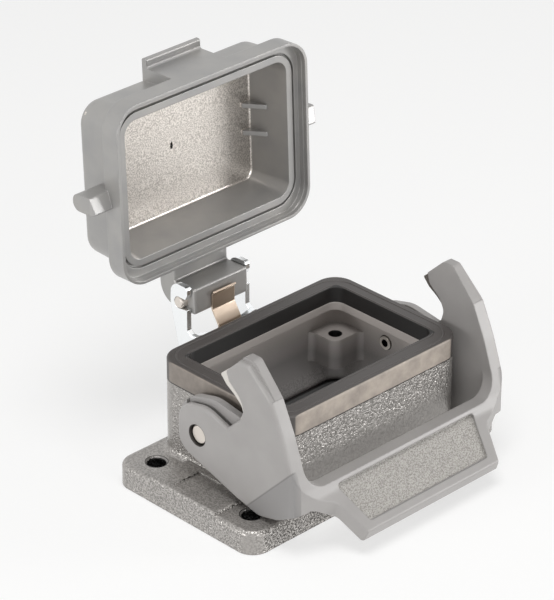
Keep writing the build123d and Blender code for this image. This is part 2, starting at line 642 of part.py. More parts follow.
def cover_pegs():
    """Pegs on the short walls that the lever's hooks hold down."""
    half = PEG_HEIGHT / 2
    low = PEG_OFFSET - half
    high = PEG_OFFSET + half
    points = [(low, PEG_FOOT + PEG_SLANT, 0.4), (high, PEG_FOOT, 0.4), (high, PEG_TOP, half * 0.95),
              (low, PEG_TOP, half * 0.95)]
    root = SKIRT_L / 2 - COVER_BODY_INSET_X - 1.0
    tip = SKIRT_L / 2 + PEG_LENGTH
    peg = side_solid(points, root, tip)
    bevel_plane = Plane(origin=(0, -20, 0), x_dir=(1, 0, 0), z_dir=(0, 1, 0))
    foot = PEG_FOOT - 0.1
    bevel = extrude(bevel_plane * outline([(tip - PEG_BEVEL, -foot, 0), (tip + 1, -foot - PEG_BEVEL - 2.3, 0),
                                           (tip + 1, -foot + 1, 0)]), amount=40)
    return both_ends(peg - bevel)


def cover_tab():
    """Finger tab on the lever side of the cover."""
    front = -SKIRT_W / 2
    half = TAB_LENGTH / 2
    points = [(front, SKIRT_DEPTH - 1.6, 0.3), (front + 5, SKIRT_DEPTH - 1.6, 0), (front + 5, TAB_BACK, 0),
              (front - TAB_LIP, TAB_BACK, 0.5), (front - TAB_LIP, TAB_BACK - TAB_LIP_THICKNESS, 0.5),
              (front, TAB_BACK - TAB_LIP_THICKNESS, 0.6)]
    return side_solid(points, -half, half)


def hinge_lug():
    """Hooked lug at the back of the cover that turns about the hinge pin."""
    axis_z = HINGE_Z - COVER_Z
    front = HINGE_Y - KNUCKLE_FLAT
    back = HINGE_Y + KNUCKLE_BACK
    under = LUG_TOP - LUG_THICKNESS
    foot = axis_z - KNUCKLE_FLAT
    root = SKIRT_W / 2 - COVER_BODY_INSET_Y - 2.0
    points = [(root, under, 0), (front, under, 0.5), (front, foot, 0.5), (back, foot, 1.0), (back, LUG_TOP, 5.5),
              (root, LUG_TOP, 0)]
    lug = side_solid(points, -KNUCKLE_HALF, KNUCKLE_HALF)
    ends = lug.faces().sort_by(Axis.X)
    return fillet(ends[0].edges() + ends[-1].edges(), LUG_EDGE)


def closed_cover():
    """Whole cover casting in its own frame."""
    cover = cover_shell() + cover_pegs() + cover_tab() + hinge_lug()
    cover = hollow_out(cover) + cover_ribs()
    cover -= cylinder_x(PIN_DIAMETER / 2, -KNUCKLE_HALF - 1, KNUCKLE_HALF + 1, HINGE_Y, HINGE_Z - COVER_Z)
    return cover


def opened(part):
    """Turns a part of the cover from its closed place to its open place about the hinge."""
    seated = Pos(0, 0, COVER_Z) * part
    return Pos(0, HINGE_Y, HINGE_Z) * Rot(-OPEN_ANGLE, 0, 0) * Pos(0, -HINGE_Y, -HINGE_Z) * seated


def hinge_pin():
    """Pin through the lug, free to turn in the bracket."""
    reach = BRACKET_OUT + PIN_STANDOUT
    pin = cylinder_x(PIN_DIAMETER / 2, -reach, reach, HINGE_Y, HINGE_Z)
    return chamfer(pin.faces().sort_by(Axis.X)[-1].edges() + pin.faces().sort_by(Axis.X)[0].edges(), 0.3)


def bracket_arm():
    """Right ear of the hinge bracket: an open hook around the pin."""
    y = HINGE_Y
    z = HINGE_Z
    front = y - BRACKET_FRONT
    back = y + BRACKET_BACK
    top = z + BRACKET_TOP
    web_top = z - WEB_TOP
    points = [(WEB_Y - BRACKET_SHEET, web_top - 1.0, 1.0), (WEB_Y - BRACKET_SHEET, BRACKET_FOOT, 0.5),
              (y - 1.2, BRACKET_FOOT, 1.0), (back - 2.4, z - 11, 6.0), (back, z - 1, 8.0), (back - 0.2, top, 3.0),
              (front - 0.1, top, 0.9), (front - 0.1, z + 2.9, 0.6), (front + 0.3, z + 2.2, 0.3),
              (front + 1.5, z - 0.5, 0), (front, z - 0.9, 0.4), (front, web_top + 0.8, 0.6)]
    ear = side_solid(points, BRACKET_IN, BRACKET_OUT)
    bore = PIN_DIAMETER / 2 + RUNNING_CLEARANCE
    ear -= cylinder_x(bore, BRACKET_IN - 1, BRACKET_OUT + 1, y, z)
    mouth = side_solid([(y, z - bore, 0), (front - 2, z - bore * 0.6, 0), (front - 2, z + bore, 0), (y, z + bore, 0)],
                       BRACKET_IN - 1, BRACKET_OUT + 1)
    ear -= mouth
    return ear


def hinge_bracket():
    """Bent sheet bracket: a web on the housing's pad and two hooked ears."""
    web_top = HINGE_Z - WEB_TOP
    plane = Plane(origin=(0, WEB_Y, 0), x_dir=(1, 0, 0), z_dir=(0, -1, 0))
    points = [(-BRACKET_OUT, BRACKET_FOOT, 0.5), (BRACKET_OUT, BRACKET_FOOT, 0.5), (BRACKET_OUT, web_top, 0.5),
              (BRACKET_IN, web_top, 0.3), (3.0, web_top - WEB_DIP, 5.0), (-3.0, web_top - WEB_DIP, 5.0),
              (-BRACKET_IN, web_top, 0.3), (-BRACKET_OUT, web_top, 0.5)]
    web = extrude(plane * outline(points), amount=BRACKET_SHEET)
    bracket = web + both_ends(bracket_arm())
    for x in (-RIVET_SPACING / 2, RIVET_SPACING / 2):
        bracket -= cylinder_y(RIVET_DIAMETER / 2, PAD_Y - 1, WEB_Y + 1, x, RIVET_Z)
    return bracket


def leaf_spring():
    """Leaf spring that holds the cover open or shut by pressing on the flats of its lug."""
    back = HINGE_Y - KNUCKLE_FLAT - SPRING_GAP
    t = SPRING_THICKNESS
    foot = BRACKET_FOOT + 0.5
    tip = HINGE_Z + SPRING_RISE
    centre = [(PAD_Y + t / 2, foot), (PAD_Y + t / 2, PAD_TOP + 0.4), (PAD_Y - 0.9, PAD_TOP + 2.4),
              (back - t / 2, HINGE_Z - 2.7), (back - t / 2, tip - 0.9), (back - t / 2 - 0.7, tip)]
    path = FilletPolyline(*[(p[0], p[1]) for p in centre], radius=0.9)
    ribbon = trace(path, line_width=t)
    plane = Plane(origin=(-SPRING_WIDTH / 2, 0, 0), x_dir=(0, 1, 0), z_dir=(1, 0, 0))
    strip = extrude(plane * ribbon, amount=SPRING_WIDTH)
    half = BRACKET_IN - 1.4
    base_points = [(-half, foot, 0.6), (half, foot, 0.6), (half, PAD_TOP - 4.0, 0.6), (-half, PAD_TOP - 4.0, 0.6)]
    base_plane = Plane(origin=(0, SPRING_Y, 0), x_dir=(1, 0, 0), z_dir=(0, -1, 0))
    strip += extrude(base_plane * outline(base_points), amount=t)
    for x in (-RIVET_SPACING / 2, RIVET_SPACING / 2):
        strip -= cylinder_y(RIVET_DIAMETER / 2, PAD_Y - 1, WEB_Y + 1, x, RIVET_Z)
    return strip


def bracket_rivets():
    """Two rivets that hold the bracket and the spring to the housing's pad."""
    rivets = []
    for x in (-RIVET_SPACING / 2, RIVET_SPACING / 2):
        rivet = cylinder_y(RIVET_DIAMETER / 2, PAD_Y - RIVET_DEPTH, WEB_Y + 0.2, x, RIVET_Z)
        head = cylinder_y(RIVET_HEAD / 2, WEB_Y, WEB_Y + RIVET_HEAD_HEIGHT, x, RIVET_Z)
        head = fillet(head.faces().sort_by(Axis.Y)[-1].edges(), RIVET_HEAD_HEIGHT * 0.75)
        rivets.append(rivet + head)
    return Compound(children=rivets)


def main():
    os.makedirs("parts", exist_ok=True)
    right_pin = pivot_pin()
    right_plate = hook_plate()
    nodes = {
        "housing": housing(),
        "rim_cap": rim_cap(),
        "base_seal": base_seal(),
        "pivot_pin_right": right_pin,
        "pivot_pin_left": mirror(right_pin, about=Plane.YZ),
        "lever": lever(),
        "hook_plate_right": right_plate,
        "hook_plate_left": mirror(right_plate, about=Plane.YZ),
        "hinge_bracket": hinge_bracket(),
        "leaf_spring": leaf_spring(),
        "bracket_rivets": bracket_rivets(),
        "cover": opened(closed_cover()),
        "hinge_pin": hinge_pin(),
    }
    for name, shape in nodes.items():
        export_step(shape, "parts/" + name + ".step")
        print(name, round(shape.volume, 1))


main()
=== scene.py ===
import bpy
from math import cos, radians, sin
from mathutils import Matrix, Vector


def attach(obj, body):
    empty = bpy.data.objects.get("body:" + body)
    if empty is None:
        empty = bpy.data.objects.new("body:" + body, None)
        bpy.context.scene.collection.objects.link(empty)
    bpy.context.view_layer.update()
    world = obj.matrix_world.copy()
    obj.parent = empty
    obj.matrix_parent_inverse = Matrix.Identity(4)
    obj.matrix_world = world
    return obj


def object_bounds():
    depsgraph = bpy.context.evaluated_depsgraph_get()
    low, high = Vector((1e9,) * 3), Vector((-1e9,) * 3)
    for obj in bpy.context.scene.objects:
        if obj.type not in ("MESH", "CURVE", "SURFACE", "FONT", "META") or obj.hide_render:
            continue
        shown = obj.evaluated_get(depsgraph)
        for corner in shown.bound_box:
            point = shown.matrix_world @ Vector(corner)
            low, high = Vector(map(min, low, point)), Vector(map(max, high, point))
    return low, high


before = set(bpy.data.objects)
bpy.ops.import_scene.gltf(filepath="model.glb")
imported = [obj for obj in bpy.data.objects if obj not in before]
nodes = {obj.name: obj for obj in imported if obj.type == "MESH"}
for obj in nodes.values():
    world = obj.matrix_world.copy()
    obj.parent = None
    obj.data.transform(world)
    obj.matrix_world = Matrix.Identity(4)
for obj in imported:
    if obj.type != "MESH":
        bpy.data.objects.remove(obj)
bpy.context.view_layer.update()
print("frame loaded:", ", ".join(sorted(nodes)))

# The camera repeats the photograph's viewing angle; angles in degrees, lengths in mm
camera = {
    "azimuth": -44.551,
    "elevation": 28.709,
    "roll": 0.258,
    "distance": 749.23,
    "lens": 194.83,
    "target": (-11.244, 0.0, 46.482),
    "sensor": 36.0,
    "near": 10.0,
    "far": 20000.0,
}

# Soft studio light, places in metres: one box overhead, three low ones that light the sides and the wall tops
lamps = {
    "overheadBox": {"watts": 2.2, "size": 0.34, "from": (-0.12, -0.10, 0.68), "to": (0.0, 0.0, 0.03)},
    "rightBox": {"watts": 2.3, "size": 0.26, "from": (0.52, -0.50, 0.10), "to": (0.0, 0.0, 0.04)},
    "leftBox": {"watts": 1.7, "size": 0.22, "from": (-0.70, 0.10, 0.13), "to": (0.0, 0.0, 0.04)},
    "frontBox": {"watts": 1.2, "size": 0.22, "from": (-0.08, -0.72, 0.13), "to": (0.0, 0.0, 0.04)},
}
# World and table, sizes in metres; things that mirror the world see it brighter than it lights
studio = {"skyColour": "#FFFFFF", "skySeen": 1.0, "skyLight": 0.30, "floorColour": "#A8A8A7", "floorRoughness": 0.9,
          "floorGlow": 0.60, "floorHalf": 3.0, "floorDrop": 0.0001}


def toLinear(hexColour):
    values = [int(hexColour[i:i + 2], 16) / 255 for i in (1, 3, 5)]
    return [v / 12.92 if v <= 0.04045 else ((v + 0.055) / 1.055) ** 2.4 for v in values] + [1.0]


def perMm(mm):
    # Texture scale for a pattern of that size; Object coordinates are in metres
    return 1000.0 / mm


def addNode(tree, kind, settings=None, links=None):
    # A setting is a property of the node or the value of a socket; a link leads from an output to a socket
    node = tree.nodes.new(kind)
    for name, value in (settings or {}).items():
        if isinstance(name, str) and hasattr(node, name):
            setattr(node, name, value)
        else:
            node.inputs[name].default_value = value
    for name, source in (links or {}).items():
        tree.links.new(source, node.inputs[name])
    return node


def newFinish(name):
    # A material with its shader and the place on the piece, in metres
    material = bpy.data.materials.new(name)
    material.use_nodes = True
    tree = material.node_tree
    place = addNode(tree, "ShaderNodeTexCoord").outputs["Object"]
    return material, tree, tree.nodes["Principled BSDF"], place


# Lengths and places in mm; a pair is where a change begins and where it is complete
hammered = {
    # The crowns of the lumps are painted lighter as highlight and their hollows darker as shade
    "colour": "#B3AFAB", "hollowShadeColour": "#83807C", "glintCrownAt": (0.40, 0.60), "metallic": 0.5, "roughness": 0.22,
    "edgeMm": 0.35, "lumpMm": 0.46, "lumpHeightMm": 0.30,
    # How much of the lumps and of their painted highlight and shade is left on faces that look up, on the rounded
    # corners, and how they grow on the front
    "topTurn": (0.5, 0.95), "topShare": 0.6, "cornerTurn": (0.08, 0.30), "cornerShare": 0.3,
    "frontTurn": (-0.5, -0.9), "frontShare": 2.2,
    # The front wall has larger lumps that fade towards its foot, and all walls show them with fainter painted
    # highlight and shade
    "wallFoot": (7.5, 8.5), "wallShare": 0.45, "wallLumpMm": 0.66, "wallFadeZ": (14.5, 20.5), "wallFootShare": 0.25,
    # The cavity is smooth and thinly coated, and painted darker towards its floor as shade
    "insideX": 27.7, "insideY": 18.6, "insideEdge": (0.99, 1.03), "insideShare": 0.05, "insideColour": "#BAB3AE",
    "deepShadeColour": "#6B6765", "deepShadeZ": (14.0, 23.0), "insideMetallic": 0.15, "insideRoughness": 0.45,
    # Bores, painted dark as shade, with a painted shade mouth and a painted highlight ring round each mounting hole,
    # and painted shade in the joint under the rubber cap and round the pivot pin
    "holeAt": (35.0, 16.0), "holeMouth": 2.8, "holeRing": 2.62, "holeBore": 2.3, "mouthShadeColour": "#34312F",
    "ringHighlightColour": "#8A8784", "postHoleAt": (22.0, 13.5), "postHoleBore": 1.7, "boreEdge": 0.06,
    "pinAt": (0.0, 1.7, 19.3), "pinHole": 1.9, "pinEdge": 0.1, "shadowColour": "#151413", "jointShadeZ": (24.8, 24.95),
}


def hammeredPowderCoat():
    # Die-cast aluminium in a hammered powder coat: lumps just under 1 mm across whose crowns glint, painted lighter as
    # highlight over hollows painted darker as shade. It is flatter on faces that look up and on the rounded corners,
    # and smooth inside. The bores and the depth of the cavity are painted dark as shade.
    material, tree, shader, place = newFinish("hammeredPowderCoat")
    axes = addNode(tree, "ShaderNodeSeparateXYZ", links={0: place})
    sideX = addNode(tree, "ShaderNodeMath", {"operation": "ABSOLUTE"}, {0: axes.outputs["X"]})
    sideY = addNode(tree, "ShaderNodeMath", {"operation": "ABSOLUTE"}, {0: axes.outputs["Y"]})
    shareX = addNode(tree, "ShaderNodeMath", {"operation": "DIVIDE", 1: hammered["insideX"] / 1000},
                     {0: sideX.outputs[0]})
    shareY = addNode(tree, "ShaderNodeMath", {"operation": "DIVIDE", 1: hammered["insideY"] / 1000},
                     {0: sideY.outputs[0]})
    reach = addNode(tree, "ShaderNodeMath", {"operation": "MAXIMUM"}, {0: shareX.outputs[0], 1: shareY.outputs[0]})
    outside = addNode(tree, "ShaderNodeMapRange", {"From Min": hammered["insideEdge"][0],
                                                   "From Max": hammered["insideEdge"][1]}, {0: reach.outputs[0]})

    # How strongly the lumps stand out in each place
    facing = addNode(tree, "ShaderNodeSeparateXYZ",
                     links={0: addNode(tree, "ShaderNodeNewGeometry").outputs["True Normal"]})
    upward = addNode(tree, "ShaderNodeMapRange", {"From Min": hammered["topTurn"][0],
                                                  "From Max": hammered["topTurn"][1], "To Min": 1.0,
                                                  "To Max": hammered["topShare"]}, {0: facing.outputs["Z"]})
    diagonal = addNode(tree, "ShaderNodeMath", {"operation": "MULTIPLY"}, {0: facing.outputs["X"],
                                                                           1: facing.outputs["Y"]})
    atCorner = addNode(tree, "ShaderNodeMath", {"operation": "ABSOLUTE"}, {0: diagonal.outputs[0]})
    rounded = addNode(tree, "ShaderNodeMapRange", {"From Min": hammered["cornerTurn"][0],
                                                   "From Max": hammered["cornerTurn"][1], "To Min": 1.0,
                                                   "To Max": hammered["cornerShare"]}, {0: atCorner.outputs[0]})
    inside = addNode(tree, "ShaderNodeMapRange", {"To Min": hammered["insideShare"], "To Max": 1.0},
                     {0: outside.outputs[0]})
    isForward = addNode(tree, "ShaderNodeMapRange", {"From Min": hammered["frontTurn"][0],
                                                     "From Max": hammered["frontTurn"][1]}, {0: facing.outputs["Y"]})
    forward = addNode(tree, "ShaderNodeMapRange", {"To Min": 1.0, "To Max": hammered["frontShare"]},
                      {0: isForward.outputs[0]})
    turned = addNode(tree, "ShaderNodeMath", {"operation": "MULTIPLY"}, {0: upward.outputs[0],
                                                                         1: forward.outputs[0]})
    outer = addNode(tree, "ShaderNodeMath", {"operation": "MULTIPLY"}, {0: turned.outputs[0], 1: rounded.outputs[0]})
    strength = addNode(tree, "ShaderNodeMath", {"operation": "MULTIPLY"}, {0: outer.outputs[0], 1: inside.outputs[0]})

    lumps = addNode(tree, "ShaderNodeTexNoise", {"Scale": perMm(hammered["lumpMm"]), "Detail": 1.0, "Roughness": 0.5,
                                                 "Distortion": 0.4}, {"Vector": place})
    softEdge = addNode(tree, "ShaderNodeBevel", {"samples": 4, "Radius": hammered["edgeMm"] / 1000})
    wallLumps = addNode(tree, "ShaderNodeTexNoise", {"Scale": perMm(hammered["wallLumpMm"]), "Detail": 1.0,
                                                     "Distortion": 0.6}, {"Vector": place})
    onWall = addNode(tree, "ShaderNodeMapRange", {"From Min": hammered["wallFoot"][0] / 1000,
                                                  "From Max": hammered["wallFoot"][1] / 1000}, {0: axes.outputs["Z"]})
    frontWall = addNode(tree, "ShaderNodeMath", {"operation": "MULTIPLY"}, {0: onWall.outputs[0],
                                                                            1: isForward.outputs[0]})
    heightField = addNode(tree, "ShaderNodeMix", {"data_type": "FLOAT"},
                          {0: frontWall.outputs[0], 2: lumps.outputs["Fac"], 3: wallLumps.outputs["Fac"]})
    wallFade = addNode(tree, "ShaderNodeMapRange", {"From Min": hammered["wallFadeZ"][0] / 1000,
                                                    "From Max": hammered["wallFadeZ"][1] / 1000,
                                                    "To Min": hammered["wallFootShare"]}, {0: axes.outputs["Z"]})
    faded = addNode(tree, "ShaderNodeMix", {"data_type": "FLOAT", 2: 1.0},
                    {0: frontWall.outputs[0], 3: wallFade.outputs[0]})
    lumpShare = addNode(tree, "ShaderNodeMath", {"operation": "MULTIPLY"}, {0: strength.outputs[0],
                                                                            1: faded.outputs[0]})
    relief = addNode(tree, "ShaderNodeBump", {"Distance": hammered["lumpHeightMm"] / 1000},
                     {"Height": heightField.outputs[0], "Strength": lumpShare.outputs[0],
                      "Normal": softEdge.outputs[0]})
    tree.links.new(relief.outputs[0], shader.inputs["Normal"])

    # Colour: painted highlight on the crowns and painted shade between the lumps; painted shade deep inside, in the
    # joint under the rubber, round the pivot pin and in the bores, with a painted highlight ring in each mounting hole
    # Painted highlight on the crowns and painted shade in the hollows, strongest on the front faces
    crownGlintShade = addNode(tree, "ShaderNodeMapRange", {"From Min": hammered["glintCrownAt"][0],
                                                 "From Max": hammered["glintCrownAt"][1], "To Min": -0.5, "To Max": 0.5},
                    {0: heightField.outputs[0]})
    upWall = addNode(tree, "ShaderNodeMapRange", {"To Min": 1.0, "To Max": hammered["wallShare"]},
                     {0: onWall.outputs[0]})
    ahead = addNode(tree, "ShaderNodeMath", {"operation": "MULTIPLY"}, {0: forward.outputs[0], 1: faded.outputs[0]})
    share = addNode(tree, "ShaderNodeMath", {"operation": "MULTIPLY"}, {0: ahead.outputs[0], 1: upWall.outputs[0]})
    flatter = addNode(tree, "ShaderNodeMath", {"operation": "MULTIPLY"}, {0: share.outputs[0], 1: upward.outputs[0]})
    levelled = addNode(tree, "ShaderNodeMath", {"operation": "MULTIPLY"}, {0: flatter.outputs[0],
                                                                           1: rounded.outputs[0]})
    contrast = addNode(tree, "ShaderNodeMath", {"operation": "MULTIPLY"}, {0: crownGlintShade.outputs[0],
                                                                           1: levelled.outputs[0]})
    lightness = addNode(tree, "ShaderNodeMath", {"operation": "ADD", 1: 0.5}, {0: contrast.outputs[0]})
    shade = addNode(tree, "ShaderNodeMix", {"data_type": "RGBA", "clamp_factor": False,
                                            6: toLinear(hammered["hollowShadeColour"]), 7: toLinear(hammered["colour"])},
                    {0: lightness.outputs[0]})
    # Painted shade: the cavity darkens towards its floor
    height = addNode(tree, "ShaderNodeMapRange", {"From Min": hammered["deepShadeZ"][0] / 1000,
                                                  "From Max": hammered["deepShadeZ"][1] / 1000}, {0: axes.outputs["Z"]})
    shadedInside = addNode(tree, "ShaderNodeMix", {"data_type": "RGBA", 6: toLinear(hammered["deepShadeColour"]),
                                           7: toLinear(hammered["insideColour"])}, {0: height.outputs[0]})
    inner = addNode(tree, "ShaderNodeMix", {"data_type": "RGBA"},
                    {0: outside.outputs[0], 6: shadedInside.outputs[2], 7: shade.outputs[2]})
    # Painted shade in the joint under the rubber cap
    jointShade = addNode(tree, "ShaderNodeMapRange", {"From Min": hammered["jointShadeZ"][0] / 1000,
                                                 "From Max": hammered["jointShadeZ"][1] / 1000}, {0: axes.outputs["Z"]})
    jointShadeOutside = addNode(tree, "ShaderNodeMath", {"operation": "MULTIPLY"},
                           {0: jointShade.outputs[0], 1: outside.outputs[0]})
    jointShaded = addNode(tree, "ShaderNodeMix", {"data_type": "RGBA", 7: toLinear(hammered["shadowColour"])},
                      {0: jointShadeOutside.outputs[0], 6: inner.outputs[2]})
    corner = addNode(tree, "ShaderNodeCombineXYZ", links={"X": sideX.outputs[0], "Y": sideY.outputs[0]})
    paint = jointShaded
    # Painted shade in each mounting hole's mouth and bore and in the post holes, with a painted highlight on the ring
    # between mouth and bore
    for centre, radius, hexColour in ((hammered["holeAt"], hammered["holeMouth"], hammered["mouthShadeColour"]),
                                      (hammered["holeAt"], hammered["holeRing"], hammered["ringHighlightColour"]),
                                      (hammered["holeAt"], hammered["holeBore"], hammered["shadowColour"]),
                                      (hammered["postHoleAt"], hammered["postHoleBore"], hammered["shadowColour"])):
        axis = (centre[0] / 1000, centre[1] / 1000, 0.0)
        away = addNode(tree, "ShaderNodeVectorMath", {"operation": "DISTANCE", 1: axis}, {0: corner.outputs[0]})
        bore = addNode(tree, "ShaderNodeMapRange", {"From Min": (radius + hammered["boreEdge"]) / 1000,
                                                    "From Max": radius / 1000}, {0: away.outputs["Value"]})
        paint = addNode(tree, "ShaderNodeMix", {"data_type": "RGBA", 7: toLinear(hexColour)},
                        {0: bore.outputs[0], 6: paint.outputs[2]})
    # Painted shadow in the gap round the pivot pin
    section = addNode(tree, "ShaderNodeVectorMath", {"operation": "MULTIPLY", 1: (0.0, 1.0, 1.0)}, {0: place})
    pinAt = Vector(hammered["pinAt"]) / 1000
    fromPin = addNode(tree, "ShaderNodeVectorMath", {"operation": "DISTANCE", 1: pinAt}, {0: section.outputs[0]})
    pinGapShadow = addNode(tree, "ShaderNodeMapRange",
                     {"From Min": (hammered["pinHole"] + hammered["pinEdge"]) / 1000,
                      "From Max": hammered["pinHole"] / 1000}, {0: fromPin.outputs["Value"]})
    pinShadowed = addNode(tree, "ShaderNodeMix", {"data_type": "RGBA", 7: toLinear(hammered["shadowColour"])},
                     {0: pinGapShadow.outputs[0], 6: paint.outputs[2]})
    tree.links.new(pinShadowed.outputs[2], shader.inputs["Base Color"])
    sheen = addNode(tree, "ShaderNodeMapRange",
                    {"To Min": hammered["insideMetallic"], "To Max": hammered["metallic"]}, {0: outside.outputs[0]})
    tree.links.new(sheen.outputs[0], shader.inputs["Metallic"])
    dull = addNode(tree, "ShaderNodeMapRange",
                   {"To Min": hammered["insideRoughness"], "To Max": hammered["roughness"]}, {0: outside.outputs[0]})
    tree.links.new(dull.outputs[0], shader.inputs["Roughness"])
    return material


# Lengths and places in mm; a pair is where a change begins and where it is complete
coverCoat = {
    "colour": "#A5A3A0", "cloudColour": "#9A9998", "cloudMm": 8.0, "cloudAt": (0.3, 0.7), "peelMm": 0.7,
    "peelDepthMm": 0.012, "metallic": 0.45, "roughness": 0.36, "edgeMm": 0.3,
    # Floor of the hollow, a plane through two places: left as cast, with bright grains and duller hollows
    "floorFoot": (0.0, 45.6, 48.1), "floorTop": (0.0, 47.15, 83.6), "floorHalf": 27.5, "floorGap": (0.4, 0.2),
    "floorColour": "#E9E3DC", "floorHollowColour": "#B3ACA5", "floorGrainMm": 0.33, "floorGrainAt": (0.38, 0.60),
    "floorDepthMm": 0.05, "floorMetallic": 0.92, "floorRoughness": 0.28,
    # One dark nick in it
    "nickAt": (-1.1, 46.4, 66.4), "nickMm": (0.5, 1.2), "nickEdge": (1.45, 1.25), "nickColour": "#1E1A18",
}


def smoothPowderCoat():
    # Die-cast cover in a smooth silver powder coat with a satin sheen; the floor of its hollow is left as cast,
    # bright and finely speckled, with one small dark nick. The speckle is drawn a little coarser than it is.
    material, tree, shader, place = newFinish("smoothPowderCoat")
    foot = Vector(coverCoat["floorFoot"])
    rise = Vector(coverCoat["floorTop"]) - foot
    outward = Vector((0.0, -rise.z, rise.y)).normalized()
    axes = addNode(tree, "ShaderNodeSeparateXYZ", links={0: place})
    off = addNode(tree, "ShaderNodeVectorMath", {"operation": "SUBTRACT", 1: foot / 1000}, {0: place})
    height = addNode(tree, "ShaderNodeVectorMath", {"operation": "DOT_PRODUCT", 1: outward}, {0: off.outputs[0]})
    gap = addNode(tree, "ShaderNodeMath", {"operation": "ABSOLUTE"}, {0: height.outputs["Value"]})
    onPlane = addNode(tree, "ShaderNodeMapRange", {"From Min": coverCoat["floorGap"][0] / 1000,
                                                   "From Max": coverCoat["floorGap"][1] / 1000}, {0: gap.outputs[0]})
    sideX = addNode(tree, "ShaderNodeMath", {"operation": "ABSOLUTE"}, {0: axes.outputs["X"]})
    across = addNode(tree, "ShaderNodeMath", {"operation": "LESS_THAN", 1: coverCoat["floorHalf"] / 1000},
                     {0: sideX.outputs[0]})
    above = addNode(tree, "ShaderNodeMath", {"operation": "GREATER_THAN", 1: coverCoat["floorFoot"][2] / 1000},
                    {0: axes.outputs["Z"]})
    below = addNode(tree, "ShaderNodeMath", {"operation": "LESS_THAN", 1: coverCoat["floorTop"][2] / 1000},
                    {0: axes.outputs["Z"]})
    upright = addNode(tree, "ShaderNodeMath", {"operation": "MULTIPLY"}, {0: above.outputs[0], 1: below.outputs[0]})
    within = addNode(tree, "ShaderNodeMath", {"operation": "MULTIPLY"}, {0: upright.outputs[0], 1: across.outputs[0]})
    floor = addNode(tree, "ShaderNodeMath", {"operation": "MULTIPLY"}, {0: onPlane.outputs[0], 1: within.outputs[0]})

    peel = addNode(tree, "ShaderNodeTexNoise", {"Scale": perMm(coverCoat["peelMm"]), "Detail": 2.0},
                   {"Vector": place})
    grain = addNode(tree, "ShaderNodeTexNoise", {"Scale": perMm(coverCoat["floorGrainMm"]), "Detail": 2.0,
                                                 "Roughness": 0.6, "Distortion": 0.2}, {"Vector": place})
    clouds = addNode(tree, "ShaderNodeTexNoise", {"Scale": perMm(coverCoat["cloudMm"]), "Detail": 3.0},
                     {"Vector": place})
    softEdge = addNode(tree, "ShaderNodeBevel", {"samples": 6, "Radius": coverCoat["edgeMm"] / 1000})
    skin = addNode(tree, "ShaderNodeBump", {"Distance": coverCoat["peelDepthMm"] / 1000},
                   {"Height": peel.outputs["Fac"], "Normal": softEdge.outputs[0]})
    rough = addNode(tree, "ShaderNodeBump", {"Distance": coverCoat["floorDepthMm"] / 1000},
                    {"Height": grain.outputs["Fac"], "Strength": floor.outputs[0], "Normal": skin.outputs[0]})
    tree.links.new(rough.outputs[0], shader.inputs["Normal"])

    mottle = addNode(tree, "ShaderNodeMapRange", {"From Min": coverCoat["cloudAt"][0],
                                                  "From Max": coverCoat["cloudAt"][1]}, {0: clouds.outputs["Fac"]})
    coat = addNode(tree, "ShaderNodeMix", {"data_type": "RGBA", 6: toLinear(coverCoat["cloudColour"]),
                                           7: toLinear(coverCoat["colour"])}, {0: mottle.outputs[0]})
    speck = addNode(tree, "ShaderNodeMapRange",
                    {"From Min": coverCoat["floorGrainAt"][0], "From Max": coverCoat["floorGrainAt"][1]},
                    {0: grain.outputs["Fac"]})
    speckled = addNode(tree, "ShaderNodeMix", {"data_type": "RGBA", 6: toLinear(coverCoat["floorHollowColour"]),
                                               7: toLinear(coverCoat["floorColour"])}, {0: speck.outputs[0]})
    nickAt = Vector(coverCoat["nickAt"]) / 1000
    nickScale = (perMm(coverCoat["nickMm"][0]), 0.0, perMm(coverCoat["nickMm"][1]))
    nickOff = addNode(tree, "ShaderNodeVectorMath", {"operation": "SUBTRACT", 1: nickAt}, {0: place})
    nickReach = addNode(tree, "ShaderNodeVectorMath", {"operation": "MULTIPLY", 1: nickScale},
                        {0: nickOff.outputs[0]})
    nickAway = addNode(tree, "ShaderNodeVectorMath", {"operation": "LENGTH"}, {0: nickReach.outputs[0]})
    ragged = addNode(tree, "ShaderNodeMath", {"operation": "ADD"}, {0: nickAway.outputs["Value"],
                                                                    1: grain.outputs["Fac"]})
    nick = addNode(tree, "ShaderNodeMapRange", {"From Min": coverCoat["nickEdge"][0],
                                                "From Max": coverCoat["nickEdge"][1]}, {0: ragged.outputs[0]})
    bare = addNode(tree, "ShaderNodeMix", {"data_type": "RGBA", 7: toLinear(coverCoat["nickColour"])},
                   {0: nick.outputs[0], 6: speckled.outputs[2]})
    both = addNode(tree, "ShaderNodeMix", {"data_type": "RGBA"},
                   {0: floor.outputs[0], 6: coat.outputs[2], 7: bare.outputs[2]})
    tree.links.new(both.outputs[2], shader.inputs["Base Color"])
    sheen = addNode(tree, "ShaderNodeMapRange",
                    {"To Min": coverCoat["metallic"], "To Max": coverCoat["floorMetallic"]}, {0: floor.outputs[0]})
    tree.links.new(sheen.outputs[0], shader.inputs["Metallic"])
    gloss = addNode(tree, "ShaderNodeMapRange",
                    {"To Min": coverCoat["roughness"], "To Max": coverCoat["floorRoughness"]}, {0: floor.outputs[0]})
    tree.links.new(gloss.outputs[0], shader.inputs["Roughness"])
    return material


